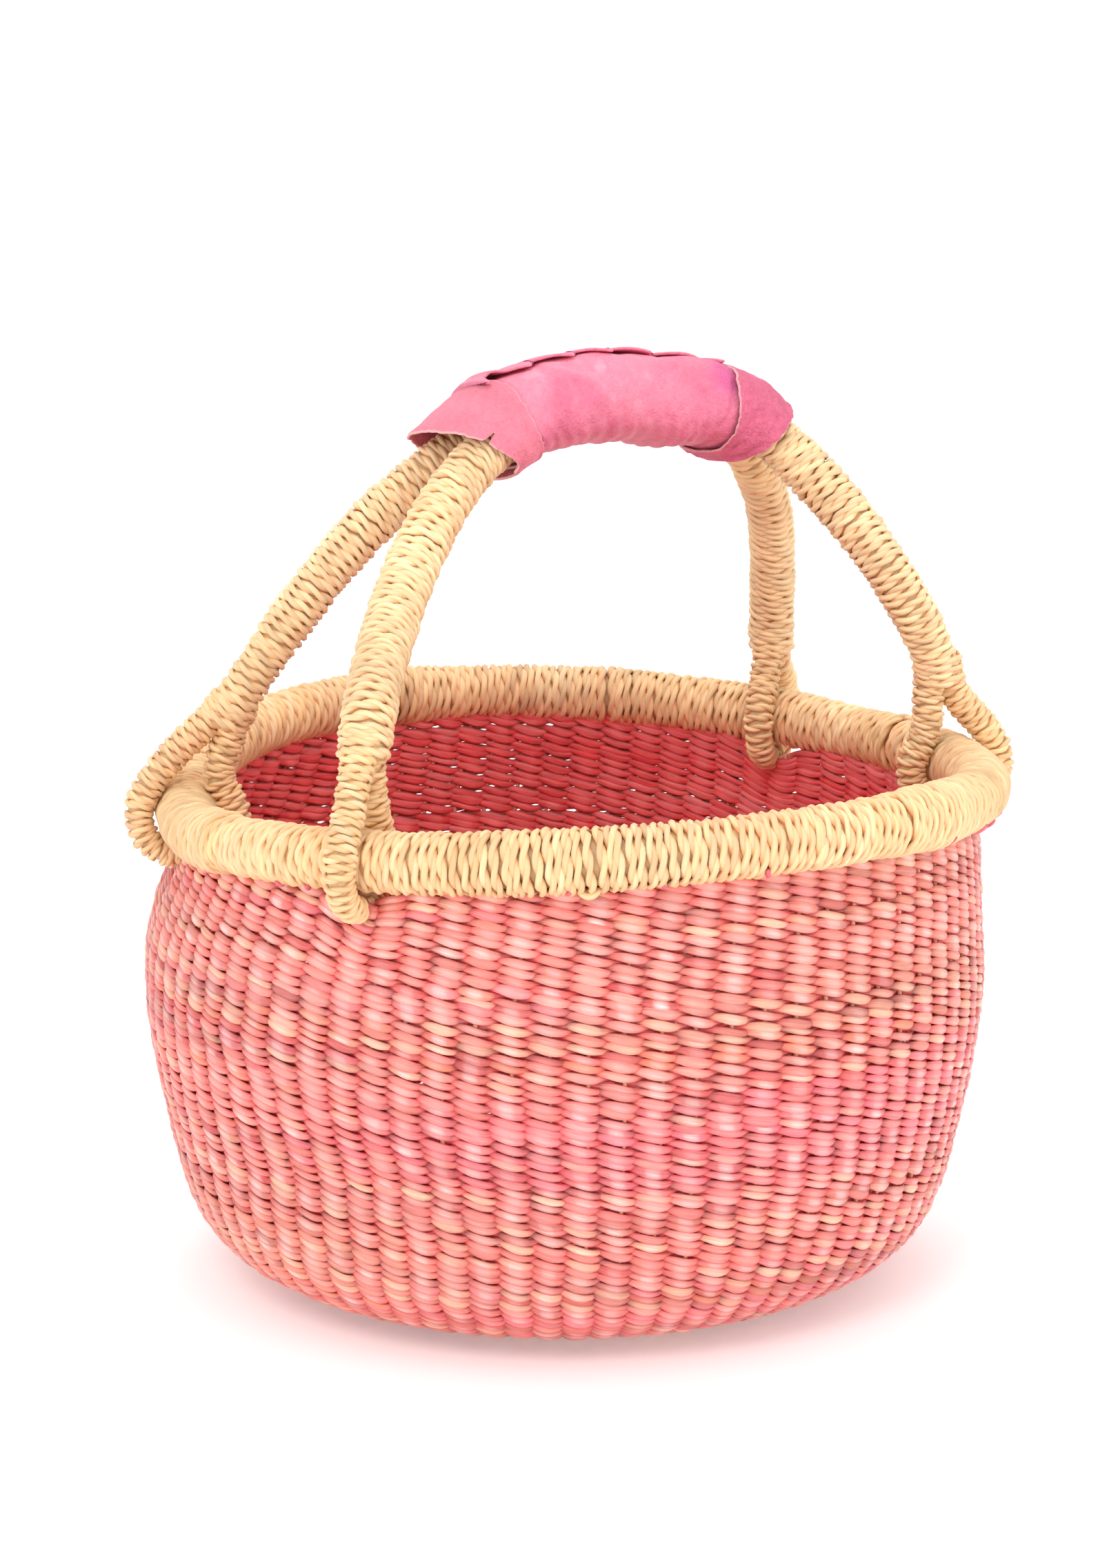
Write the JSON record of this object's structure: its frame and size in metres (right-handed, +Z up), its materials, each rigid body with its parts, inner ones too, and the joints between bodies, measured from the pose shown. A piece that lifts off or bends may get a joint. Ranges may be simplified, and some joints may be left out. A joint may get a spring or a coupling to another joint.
{
  "type": "easter basket",
  "caption": "Round woven straw basket with a cord-wrapped rim hoop and a carrying handle of two wrapped arches joined by a leather grip and forked feet that loop round the rim.",
  "frame": {"origin": "centre of the base, on the surface that the basket stands on", "axes": "+Z up; +X along the leather grip towards its darker cuff; -Y towards the front arch of the handle"},
  "size_m": [0.3146, 0.3052, 0.3278],
  "materials": {
    "dyed_straw": "twined straw dyed coral pink, slightly glossy",
    "dyed_straw_inside": "twined straw, deep crimson side, slightly glossy",
    "stake_straw": "upright straws, pale pink",
    "leather": "pink goatskin, soft grain, semi-matte",
    "leather_dark": "rose goatskin, soft grain, semi-matte",
    "thread": "waxed cord",
    "straw_bundle": "bundled natural straw",
    "natural_cord": "twisted natural straw cord, satin"
  },
  "bodies": {
    "basket": {"base_cross_straws": "stake_straw", "base_weft_lower": "dyed_straw", "base_weft_upper": "dyed_straw", "main_stakes": "stake_straw", "added_stakes": "stake_straw", "wall_weft_outer": "dyed_straw", "wall_weft_inner": "dyed_straw_inside", "rim_core": "straw_bundle", "rim_wrap": "natural_cord"},
    "handle": {"front_arch_core": "straw_bundle", "front_arch_wrap": "natural_cord", "back_arch_core": "straw_bundle", "back_arch_wrap": "natural_cord", "front_left_outer_prong_core": "straw_bundle", "front_left_outer_prong_wrap": "natural_cord", "front_left_inner_prong_core": "straw_bundle", "front_left_inner_prong_wrap": "natural_cord", "front_right_outer_prong_core": "straw_bundle", "front_right_outer_prong_wrap": "natural_cord", "front_right_inner_prong_core": "straw_bundle", "front_right_inner_prong_wrap": "natural_cord", "back_left_outer_prong_core": "straw_bundle", "back_left_outer_prong_wrap": "natural_cord", "back_left_inner_prong_core": "straw_bundle", "back_left_inner_prong_wrap": "natural_cord", "back_right_outer_prong_core": "straw_bundle", "back_right_outer_prong_wrap": "natural_cord", "back_right_inner_prong_core": "straw_bundle", "back_right_inner_prong_wrap": "natural_cord", "grip_sleeve": "leather", "left_grip_cuff": "leather", "right_grip_cuff": "leather_dark", "grip_seam_stitches": "thread"}
  },
  "joints": [
    {"name": "handle_rock", "type": "hinge", "parent": "basket", "child": "handle", "pos_m": [0, -0.0013, 0.1763], "axis": [1, 0, 0], "range_deg": [-1.8, 1.8]}
  ]
}
